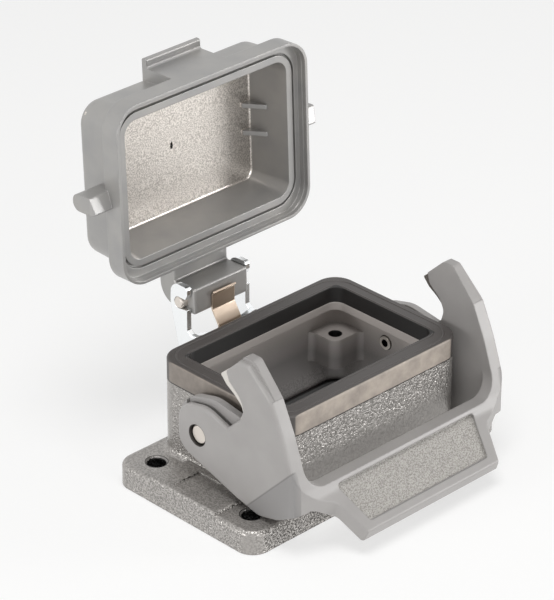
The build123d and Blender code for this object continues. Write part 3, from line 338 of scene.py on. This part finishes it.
# Lengths and places in mm; a pair is where a change begins and where it is complete
leverCoat = {
    "colour": "#A09D9B", "cloudColour": "#999694", "cloudMm": 9.0, "cloudAt": (0.3, 0.7), "fineMm": 0.6,
    "fineDepthMm": 0.015, "roughness": 0.38, "edgeMm": 0.45,
    # Grip panel: the slope it is sunk in, from the top to the lip, and the depths and places that bound it
    "gripTop": (0.0, -29.7, 16.6), "gripLip": (0.0, -40.9, 6.7), "gripSunk": (-0.15, -0.40),
    "gripFloor": (-0.75, -0.65), "gripSide": (22.7, 22.4), "gripFront": (-30.0, -30.3), "gripFootZ": 7.9,
    "gripColour": "#B0ADA8", "gripHollowColour": "#85817C", "gripGrainMm": 0.34, "gripGrainAt": (0.38, 0.60),
    "gripReliefMm": 0.16,
    # Crease across the outer face of each arm, with the face below it falling away and painted a little darker as
    # shade, a thin painted shade line along the crease, and painted shadow in the recess round each pivot
    "creaseAt": (0.0, -17.2, 10.2), "creaseTo": (0.0, -26.9, 20.1), "creaseFall": 0.16, "creaseFace": (33.4, 34.6),
    "belowShadeColour": "#8A8887", "creaseShadeLine": (0.28, 0.10), "creaseShadeShare": 0.35,
    "pivotAt": (0.0, 1.7, 19.3), "pivotRecess": (2.85, 2.75), "paintedShadeColour": "#3A3734",
}


def leverMoulding():
    # Lever moulded in glass-filled plastic, satin grey, with a grained grip panel on the bridge. The outer faces
    # fall away a little below a crease, painted darker there as shade with a thin painted shade line along it, and
    # painted shadow darkens the recess round each pivot. The grain is drawn coarse enough to show.
    material, tree, shader, place = newFinish("leverMoulding")
    run = Vector(leverCoat["gripLip"]) - Vector(leverCoat["gripTop"])
    outward = Vector((0.0, run.z, -run.y)).normalized()
    top = Vector(leverCoat["gripTop"]) / 1000
    off = addNode(tree, "ShaderNodeVectorMath", {"operation": "SUBTRACT", 1: top}, {0: place})
    depth = addNode(tree, "ShaderNodeVectorMath", {"operation": "DOT_PRODUCT", 1: outward}, {0: off.outputs[0]})
    sunk = addNode(tree, "ShaderNodeMapRange", {"From Min": leverCoat["gripSunk"][0] / 1000,
                                                "From Max": leverCoat["gripSunk"][1] / 1000},
                   {0: depth.outputs["Value"]})
    shallow = addNode(tree, "ShaderNodeMapRange", {"From Min": leverCoat["gripFloor"][0] / 1000,
                                                   "From Max": leverCoat["gripFloor"][1] / 1000},
                      {0: depth.outputs["Value"]})
    axes = addNode(tree, "ShaderNodeSeparateXYZ", links={0: place})
    sideX = addNode(tree, "ShaderNodeMath", {"operation": "ABSOLUTE"}, {0: axes.outputs["X"]})
    aboveLip = addNode(tree, "ShaderNodeMath", {"operation": "GREATER_THAN", 1: leverCoat["gripFootZ"] / 1000},
                       {0: axes.outputs["Z"]})
    within = addNode(tree, "ShaderNodeMapRange", {"From Min": leverCoat["gripSide"][0] / 1000,
                                                  "From Max": leverCoat["gripSide"][1] / 1000}, {0: sideX.outputs[0]})
    inFront = addNode(tree, "ShaderNodeMapRange", {"From Min": leverCoat["gripFront"][0] / 1000,
                                                   "From Max": leverCoat["gripFront"][1] / 1000},
                      {0: axes.outputs["Y"]})
    level = addNode(tree, "ShaderNodeMath", {"operation": "MULTIPLY"}, {0: sunk.outputs[0], 1: shallow.outputs[0]})
    panel = addNode(tree, "ShaderNodeMath", {"operation": "MULTIPLY"}, {0: level.outputs[0], 1: aboveLip.outputs[0]})
    panelWide = addNode(tree, "ShaderNodeMath", {"operation": "MULTIPLY"},
                        {0: panel.outputs[0], 1: within.outputs[0]})
    grip = addNode(tree, "ShaderNodeMath", {"operation": "MULTIPLY"}, {0: panelWide.outputs[0], 1: inFront.outputs[0]})

    # Relief: soft edges, the fall below the crease, a fine skin and the grain of the grip
    creaseAt = Vector(leverCoat["creaseAt"])
    creaseRun = Vector(leverCoat["creaseTo"]) - creaseAt
    downward = Vector((0.0, -creaseRun.z, creaseRun.y)).normalized()
    creaseOff = addNode(tree, "ShaderNodeVectorMath", {"operation": "SUBTRACT", 1: creaseAt / 1000}, {0: place})
    past = addNode(tree, "ShaderNodeVectorMath", {"operation": "DOT_PRODUCT", 1: downward}, {0: creaseOff.outputs[0]})
    beyond = addNode(tree, "ShaderNodeMath", {"operation": "MAXIMUM", 1: 0.0}, {0: past.outputs["Value"]})
    outerFace = addNode(tree, "ShaderNodeMapRange", {"From Min": leverCoat["creaseFace"][0] / 1000,
                                                     "From Max": leverCoat["creaseFace"][1] / 1000},
                        {0: sideX.outputs[0]})
    fall = addNode(tree, "ShaderNodeMath", {"operation": "MULTIPLY"}, {0: beyond.outputs[0], 1: outerFace.outputs[0]})
    softEdge = addNode(tree, "ShaderNodeBevel", {"samples": 6, "Radius": leverCoat["edgeMm"] / 1000})
    bend = addNode(tree, "ShaderNodeBump", {"Distance": leverCoat["creaseFall"], "invert": True},
                   {"Height": fall.outputs[0], "Normal": softEdge.outputs[0]})
    fine = addNode(tree, "ShaderNodeTexNoise", {"Scale": perMm(leverCoat["fineMm"]), "Detail": 2.0},
                   {"Vector": place})
    skin = addNode(tree, "ShaderNodeBump", {"Distance": leverCoat["fineDepthMm"] / 1000},
                   {"Height": fine.outputs["Fac"], "Normal": bend.outputs[0]})
    grain = addNode(tree, "ShaderNodeTexNoise", {"Scale": perMm(leverCoat["gripGrainMm"]), "Detail": 2.0,
                                                 "Roughness": 0.55, "Distortion": 0.2}, {"Vector": place})
    grained = addNode(tree, "ShaderNodeBump", {"Distance": leverCoat["gripReliefMm"] / 1000},
                      {"Height": grain.outputs["Fac"], "Strength": grip.outputs[0], "Normal": skin.outputs[0]})
    tree.links.new(grained.outputs[0], shader.inputs["Normal"])

    # Colour: faint clouds, the speckle of the grip, painted shade below the crease and in a thin line along it,
    # painted shadow in the pivot recess
    clouds = addNode(tree, "ShaderNodeTexNoise", {"Scale": perMm(leverCoat["cloudMm"]), "Detail": 3.0},
                     {"Vector": place})
    mottle = addNode(tree, "ShaderNodeMapRange", {"From Min": leverCoat["cloudAt"][0],
                                                  "From Max": leverCoat["cloudAt"][1]}, {0: clouds.outputs["Fac"]})
    coat = addNode(tree, "ShaderNodeMix", {"data_type": "RGBA", 6: toLinear(leverCoat["cloudColour"]),
                                           7: toLinear(leverCoat["colour"])}, {0: mottle.outputs[0]})
    speck = addNode(tree, "ShaderNodeMapRange",
                    {"From Min": leverCoat["gripGrainAt"][0], "From Max": leverCoat["gripGrainAt"][1]},
                    {0: grain.outputs["Fac"]})
    speckled = addNode(tree, "ShaderNodeMix", {"data_type": "RGBA", 6: toLinear(leverCoat["gripHollowColour"]),
                                               7: toLinear(leverCoat["gripColour"])}, {0: speck.outputs[0]})
    both = addNode(tree, "ShaderNodeMix", {"data_type": "RGBA"},
                   {0: grip.outputs[0], 6: coat.outputs[2], 7: speckled.outputs[2]})
    # Painted shade on the face below the crease
    isPast = addNode(tree, "ShaderNodeMath", {"operation": "GREATER_THAN", 1: 0.0}, {0: past.outputs["Value"]})
    below = addNode(tree, "ShaderNodeMath", {"operation": "MULTIPLY"}, {0: isPast.outputs[0],
                                                                        1: outerFace.outputs[0]})
    shadedBelow = addNode(tree, "ShaderNodeMix", {"data_type": "RGBA", 7: toLinear(leverCoat["belowShadeColour"])},
                    {0: below.outputs[0], 6: both.outputs[2]})
    # A thin line of painted shade along the crease
    nearLine = addNode(tree, "ShaderNodeMath", {"operation": "ABSOLUTE"}, {0: past.outputs["Value"]})
    creaseShadeMask = addNode(tree, "ShaderNodeMapRange", {"From Min": leverCoat["creaseShadeLine"][0] / 1000,
                                                "From Max": leverCoat["creaseShadeLine"][1] / 1000,
                                                "To Max": leverCoat["creaseShadeShare"]}, {0: nearLine.outputs[0]})
    creaseShadeOutside = addNode(tree, "ShaderNodeMath", {"operation": "MULTIPLY"}, {0: creaseShadeMask.outputs[0],
                                                                              1: outerFace.outputs[0]})
    creaseShaded = addNode(tree, "ShaderNodeMix", {"data_type": "RGBA", 7: toLinear(leverCoat["paintedShadeColour"])},
                      {0: creaseShadeOutside.outputs[0], 6: shadedBelow.outputs[2]})
    # Painted shadow in the recess round each pivot
    section = addNode(tree, "ShaderNodeVectorMath", {"operation": "MULTIPLY", 1: (0.0, 1.0, 1.0)}, {0: place})
    pivotAt = Vector(leverCoat["pivotAt"]) / 1000
    fromPivot = addNode(tree, "ShaderNodeVectorMath", {"operation": "DISTANCE", 1: pivotAt}, {0: section.outputs[0]})
    recessShadow = addNode(tree, "ShaderNodeMapRange", {"From Min": leverCoat["pivotRecess"][0] / 1000,
                                                  "From Max": leverCoat["pivotRecess"][1] / 1000},
                     {0: fromPivot.outputs["Value"]})
    paint = addNode(tree, "ShaderNodeMix", {"data_type": "RGBA", 7: toLinear(leverCoat["paintedShadeColour"])},
                    {0: recessShadow.outputs[0], 6: creaseShaded.outputs[2]})
    tree.links.new(paint.outputs[2], shader.inputs["Base Color"])
    shader.inputs["Roughness"].default_value = leverCoat["roughness"]
    return material


# Lengths and places in mm; a pair is where a change begins and where it is complete
rubber = {
    "colour": "#4A4644", "roughness": 0.45, "edgeMm": 0.3, "grainMm": 0.35, "grainDepthMm": 0.06, "grainShare": 0.5,
    # Outer faces of the cap, with a light brown colour in clouds that is partly bloom and partly painted sheen, weaker
    # on the end faces as painted shade
    "outerX": 29.45, "outerY": 20.95, "outerEdge": (0.997, 1.003), "bloomAndSheenColour": "#ADA297", "endShare": 0.62,
    "cloudMm": 4.0, "cloudAt": (0.3, 0.7), "cloudLeast": 0.55,
    # Faces round the cap's mouth and the joint with the housing, both painted dark as shade
    "innerX": 25.05, "innerY": 16.45, "innerEdge": (1.008, 1.002), "innerShadeColour": "#181615",
    "jointShadeZ": (25.25, 25.05), "jointShadeColour": "#1C1A19",
}


def blackRubber():
    # Moulded nitrile rubber, satin, with a light brown colour in clouds on the outer side that is partly bloom and
    # partly painted sheen, more on the long sides than at the ends, where it is weaker as painted shade
    material, tree, shader, place = newFinish("mouldedRubber")
    axes = addNode(tree, "ShaderNodeSeparateXYZ", links={0: place})
    sideX = addNode(tree, "ShaderNodeMath", {"operation": "ABSOLUTE"}, {0: axes.outputs["X"]})
    sideY = addNode(tree, "ShaderNodeMath", {"operation": "ABSOLUTE"}, {0: axes.outputs["Y"]})
    shareX = addNode(tree, "ShaderNodeMath", {"operation": "DIVIDE", 1: rubber["outerX"] / 1000},
                     {0: sideX.outputs[0]})
    shareY = addNode(tree, "ShaderNodeMath", {"operation": "DIVIDE", 1: rubber["outerY"] / 1000},
                     {0: sideY.outputs[0]})
    reach = addNode(tree, "ShaderNodeMath", {"operation": "MAXIMUM"}, {0: shareX.outputs[0], 1: shareY.outputs[0]})
    outerSide = addNode(tree, "ShaderNodeMapRange", {"From Min": rubber["outerEdge"][0],
                                                  "From Max": rubber["outerEdge"][1]}, {0: reach.outputs[0]})
    grain = addNode(tree, "ShaderNodeTexNoise", {"Scale": perMm(rubber["grainMm"]), "Detail": 3.0,
                                                 "Roughness": 0.7}, {"Vector": place})
    clouds = addNode(tree, "ShaderNodeTexNoise", {"Scale": perMm(rubber["cloudMm"]), "Detail": 4.0,
                                                  "Roughness": 0.6}, {"Vector": place})
    patchy = addNode(tree, "ShaderNodeMapRange", {"From Min": rubber["cloudAt"][0],
                                                  "From Max": rubber["cloudAt"][1],
                                                  "To Min": rubber["cloudLeast"]}, {0: clouds.outputs["Fac"]})
    facing = addNode(tree, "ShaderNodeSeparateXYZ",
                     links={0: addNode(tree, "ShaderNodeNewGeometry").outputs["True Normal"]})
    endwise = addNode(tree, "ShaderNodeMath", {"operation": "ABSOLUTE"}, {0: facing.outputs["X"]})
    lessAtEnds = addNode(tree, "ShaderNodeMapRange", {"To Min": 1.0, "To Max": rubber["endShare"]},
                         {0: endwise.outputs[0]})
    # Bloom and painted sheen on the outer faces, less on the end faces as painted shade
    outerBloomAndSheen = addNode(tree, "ShaderNodeMath", {"operation": "MULTIPLY"}, {0: outerSide.outputs[0],
                                                                             1: lessAtEnds.outputs[0]})
    bloomAndSheen = addNode(tree, "ShaderNodeMath", {"operation": "MULTIPLY"}, {0: outerBloomAndSheen.outputs[0],
                                                                        1: patchy.outputs[0]})
    shade = addNode(tree, "ShaderNodeMix", {"data_type": "RGBA", 6: toLinear(rubber["colour"]),
                                            7: toLinear(rubber["bloomAndSheenColour"])}, {0: bloomAndSheen.outputs[0]})
    # Painted shade on the faces round the cap's mouth
    innerX = addNode(tree, "ShaderNodeMath", {"operation": "DIVIDE", 1: rubber["innerX"] / 1000},
                     {0: sideX.outputs[0]})
    innerY = addNode(tree, "ShaderNodeMath", {"operation": "DIVIDE", 1: rubber["innerY"] / 1000},
                     {0: sideY.outputs[0]})
    mouth = addNode(tree, "ShaderNodeMath", {"operation": "MAXIMUM"}, {0: innerX.outputs[0], 1: innerY.outputs[0]})
    mouthShade = addNode(tree, "ShaderNodeMapRange", {"From Min": rubber["innerEdge"][0],
                                                    "From Max": rubber["innerEdge"][1]}, {0: mouth.outputs[0]})
    mouthShaded = addNode(tree, "ShaderNodeMix", {"data_type": "RGBA", 7: toLinear(rubber["innerShadeColour"])},
                     {0: mouthShade.outputs[0], 6: shade.outputs[2]})
    # Painted shade in the joint with the housing
    jointShade = addNode(tree, "ShaderNodeMapRange", {"From Min": rubber["jointShadeZ"][0] / 1000,
                                                 "From Max": rubber["jointShadeZ"][1] / 1000}, {0: axes.outputs["Z"]})
    jointShaded = addNode(tree, "ShaderNodeMix", {"data_type": "RGBA", 7: toLinear(rubber["jointShadeColour"])},
                      {0: jointShade.outputs[0], 6: mouthShaded.outputs[2]})
    tree.links.new(jointShaded.outputs[2], shader.inputs["Base Color"])
    softEdge = addNode(tree, "ShaderNodeBevel", {"samples": 6, "Radius": rubber["edgeMm"] / 1000})
    bump = addNode(tree, "ShaderNodeBump",
                   {"Distance": rubber["grainDepthMm"] / 1000, "Strength": rubber["grainShare"]},
                   {"Height": grain.outputs["Fac"], "Normal": softEdge.outputs[0]})
    tree.links.new(bump.outputs[0], shader.inputs["Normal"])
    shader.inputs["Roughness"].default_value = rubber["roughness"]
    return material


# Bare and plated metals: colour, roughness, size in mm and depth of the marks that rolling or turning leaves
metals = {
    "stainlessPlate": {"colour": "#DAD6D0", "roughness": 0.20, "markMm": 0.8, "markDepthMm": 0.01},
    "zincPlatedSheet": {"colour": "#F8FAFB", "roughness": 0.20, "markMm": 2.2, "markDepthMm": 0.06},
    "springSteelStrip": {"colour": "#D0BEAC", "roughness": 0.30, "markMm": 1.0, "markDepthMm": 0.01},
    "turnedSteel": {"colour": "#D8D1C9", "roughness": 0.42, "markMm": 0.4, "markDepthMm": 0.02},
}
metalEdgeMm = 0.18
# Painted shade inside the drilled end of each pivot pin
pinBoreShade = {"axisAt": (0.0, 1.7, 19.3), "radius": (1.05, 0.95), "innerX": 31.0, "colour": "#221F1D"}


def bareMetal(name):
    # Bare steel or zinc with faint marks of its making; the drilled ends of the pivot pins are painted dark inside as
    # shade
    material, tree, shader, place = newFinish(name)
    metal = metals[name]
    marks = addNode(tree, "ShaderNodeTexNoise", {"Scale": perMm(metal["markMm"]), "Detail": 2.0}, {"Vector": place})
    softEdge = addNode(tree, "ShaderNodeBevel", {"samples": 6, "Radius": metalEdgeMm / 1000})
    bump = addNode(tree, "ShaderNodeBump", {"Distance": metal["markDepthMm"] / 1000},
                   {"Height": marks.outputs["Fac"], "Normal": softEdge.outputs[0]})
    tree.links.new(bump.outputs[0], shader.inputs["Normal"])
    if name == "turnedSteel":
        axes = addNode(tree, "ShaderNodeSeparateXYZ", links={0: place})
        sideX = addNode(tree, "ShaderNodeMath", {"operation": "ABSOLUTE"}, {0: axes.outputs["X"]})
        innerEnd = addNode(tree, "ShaderNodeMath", {"operation": "LESS_THAN", 1: pinBoreShade["innerX"] / 1000},
                           {0: sideX.outputs[0]})
        # Painted shade in the drilled inner end of each pivot pin
        section = addNode(tree, "ShaderNodeVectorMath", {"operation": "MULTIPLY", 1: (0.0, 1.0, 1.0)}, {0: place})
        axisAt = Vector(pinBoreShade["axisAt"]) / 1000
        away = addNode(tree, "ShaderNodeVectorMath", {"operation": "DISTANCE", 1: axisAt}, {0: section.outputs[0]})
        near = addNode(tree, "ShaderNodeMapRange", {"From Min": pinBoreShade["radius"][0] / 1000,
                                                    "From Max": pinBoreShade["radius"][1] / 1000},
                       {0: away.outputs["Value"]})
        bore = addNode(tree, "ShaderNodeMath", {"operation": "MULTIPLY"}, {0: near.outputs[0],
                                                                           1: innerEnd.outputs[0]})
        paint = addNode(tree, "ShaderNodeMix", {"data_type": "RGBA", 6: toLinear(metal["colour"]),
                                                7: toLinear(pinBoreShade["colour"])}, {0: bore.outputs[0]})
        tree.links.new(paint.outputs[2], shader.inputs["Base Color"])
    else:
        shader.inputs["Base Color"].default_value = toLinear(metal["colour"])
    shader.inputs["Metallic"].default_value = 1.0
    shader.inputs["Roughness"].default_value = metal["roughness"]
    return material


rubberFinish = blackRubber()
pinFinish = bareMetal("turnedSteel")
plateFinish = bareMetal("stainlessPlate")
finishes = {
    "housing": hammeredPowderCoat(),
    "cover": smoothPowderCoat(),
    "lever": leverMoulding(),
    "rim_cap": rubberFinish,
    "base_seal": rubberFinish,
    "hook_plate_left": plateFinish,
    "hook_plate_right": plateFinish,
    "hinge_bracket": bareMetal("zincPlatedSheet"),
    "leaf_spring": bareMetal("springSteelStrip"),
    "pivot_pin_left": pinFinish,
    "pivot_pin_right": pinFinish,
    "bracket_rivets": pinFinish,
    "hinge_pin": pinFinish,
}
for node, piece in nodes.items():
    piece.data.materials.clear()
    piece.data.materials.append(finishes[node])
print("finishes given to", len(nodes), "pieces")


# Two fine beads moulded along the top of the rubber cap, in mm: length, width and corner of each loop. When the
# cover is shut the outer one lies in its groove and the inner one inside its lip.
capBeads = {"outer": (56.3, 39.7, 6.05), "inner": (51.2, 34.2, 3.1), "capTop": 30.4, "radius": 0.32, "sunk": 0.17,
            "cornerSteps": 10, "roundSteps": 12}


def addCapBeads():
    tree = bpy.data.node_groups.new("capBeads", "GeometryNodeTree")
    tree.interface.new_socket("Geometry", in_out="INPUT", socket_type="NodeSocketGeometry")
    names = ("Outer Length", "Outer Width", "Outer Corner", "Inner Length", "Inner Width", "Inner Corner", "Height",
             "Radius")
    sockets = {n: tree.interface.new_socket(n, in_out="INPUT", socket_type="NodeSocketFloat") for n in names}
    tree.interface.new_socket("Geometry", in_out="OUTPUT", socket_type="NodeSocketGeometry")
    given = addNode(tree, "NodeGroupInput").outputs
    loops = []
    for side in ("Outer", "Inner"):
        loop = addNode(tree, "GeometryNodeCurvePrimitiveQuadrilateral",
                       links={"Width": given[side + " Length"], "Height": given[side + " Width"]})
        rounded = addNode(tree, "GeometryNodeFilletCurve", {"mode": "POLY", "Count": capBeads["cornerSteps"]},
                          {"Curve": loop.outputs[0], "Radius": given[side + " Corner"]})
        loops.append(rounded.outputs[0])
    joined = addNode(tree, "GeometryNodeJoinGeometry")
    for loop in loops:
        tree.links.new(loop, joined.inputs[0])
    profile = addNode(tree, "GeometryNodeCurvePrimitiveCircle", {"Resolution": capBeads["roundSteps"]},
                      {"Radius": given["Radius"]})
    bead = addNode(tree, "GeometryNodeCurveToMesh", links={"Curve": joined.outputs[0],
                                                           "Profile Curve": profile.outputs[0]})
    height = addNode(tree, "ShaderNodeCombineXYZ", links={"Z": given["Height"]})
    raised = addNode(tree, "GeometryNodeTransform", links={"Geometry": bead.outputs[0],
                                                           "Translation": height.outputs[0]})
    smooth = addNode(tree, "GeometryNodeSetShadeSmooth", links={0: raised.outputs[0]})
    real = addNode(tree, "GeometryNodeRealizeInstances", links={0: smooth.outputs[0]})
    dressed = addNode(tree, "GeometryNodeSetMaterial", {"Material": rubberFinish}, {"Geometry": real.outputs[0]})
    addNode(tree, "NodeGroupOutput", links={0: dressed.outputs[0]})

    base = bpy.data.objects.new("capBeadsPath", bpy.data.meshes.new("capBeadsPath"))
    bpy.context.scene.collection.objects.link(base)
    modifier = base.modifiers.new("beads", "NODES")
    modifier.node_group = tree
    values = {"Height": capBeads["capTop"] - capBeads["sunk"], "Radius": capBeads["radius"]}
    for side in ("outer", "inner"):
        for size, value in zip(("Length", "Width", "Corner"), capBeads[side]):
            values[side.capitalize() + " " + size] = value
    for name, value in values.items():
        modifier[sockets[name].identifier] = value / 1000
    base.update_tag()
    shape = bpy.data.meshes.new_from_object(base.evaluated_get(bpy.context.evaluated_depsgraph_get()))
    bpy.data.objects.remove(base)
    beads = bpy.data.objects.new("cap_beads", shape)
    bpy.context.scene.collection.objects.link(beads)
    beads.data.materials.clear()
    beads.data.materials.append(rubberFinish)
    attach(beads, "housing")
    print("cap beads:", len(shape.polygons), "faces")


addCapBeads()


def aim(position, target):
    return (Vector(target) - Vector(position)).to_track_quat("-Z", "Y").to_matrix().to_4x4()


def addCamera():
    view = bpy.data.objects.new("camera", bpy.data.cameras.new("camera"))
    bpy.context.scene.collection.objects.link(view)
    view.data.lens = camera["lens"]
    view.data.sensor_fit = "VERTICAL"
    view.data.sensor_height = camera["sensor"]
    view.data.clip_start = camera["near"] / 1000
    view.data.clip_end = camera["far"] / 1000
    a = radians(camera["azimuth"])
    e = radians(camera["elevation"])
    back = Vector((sin(a) * cos(e), -cos(a) * cos(e), sin(e)))
    target = Vector(camera["target"]) / 1000
    place = target + back * camera["distance"] / 1000
    turn = aim(place, target) @ Matrix.Rotation(radians(camera["roll"]), 4, "Z")
    view.matrix_world = Matrix.Translation(place) @ turn
    bpy.context.scene.camera = view


def addLamps():
    for name, lamp in lamps.items():
        data = bpy.data.lights.new(name, "AREA")
        data.energy = lamp["watts"]
        data.shape = "SQUARE"
        data.size = lamp["size"]
        box = bpy.data.objects.new(name, data)
        bpy.context.scene.collection.objects.link(box)
        box.matrix_world = Matrix.Translation(lamp["from"]) @ aim(lamp["from"], lamp["to"])


def addFloor():
    # Pale matt table, lit from within so that it lights the sides from below and stays near white
    half = studio["floorHalf"]
    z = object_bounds()[0][2] - studio["floorDrop"]
    mesh = bpy.data.meshes.new("floor")
    mesh.from_pydata([(-half, -half, z), (half, -half, z), (half, half, z), (-half, half, z)], [], [(0, 1, 2, 3)])
    plane = bpy.data.objects.new("floor", mesh)
    bpy.context.scene.collection.objects.link(plane)
    material, _, shader, _ = newFinish("paleFloor")
    shader.inputs["Base Color"].default_value = toLinear(studio["floorColour"])
    shader.inputs["Roughness"].default_value = studio["floorRoughness"]
    shader.inputs["Emission Color"].default_value = toLinear(studio["skyColour"])
    shader.inputs["Emission Strength"].default_value = studio["floorGlow"]
    mesh.materials.append(material)


def addWorld():
    # Camera, mirror and glass rays see a white studio; the light that it gives the object is less
    world = bpy.data.worlds.new("studio")
    bpy.context.scene.world = world
    world.use_nodes = True
    tree = world.node_tree
    sky = tree.nodes["Background"]
    sky.inputs["Color"].default_value = toLinear(studio["skyColour"])
    rays = addNode(tree, "ShaderNodeLightPath")
    seen = addNode(tree, "ShaderNodeMath", {"operation": "MAXIMUM"}, {0: rays.outputs["Is Camera Ray"],
                                                                      1: rays.outputs["Is Glossy Ray"]})
    through = addNode(tree, "ShaderNodeMath", {"operation": "MAXIMUM"}, {0: seen.outputs[0],
                                                                         1: rays.outputs["Is Transmission Ray"]})
    strength = addNode(tree, "ShaderNodeMapRange", {"To Min": studio["skyLight"], "To Max": studio["skySeen"]},
                       {0: through.outputs[0]})
    tree.links.new(strength.outputs[0], sky.inputs["Strength"])


addCamera()
addLamps()
addFloor()
addWorld()
bpy.context.scene.view_settings.view_transform = "Standard"
print("camera, lamps and floor are in place")
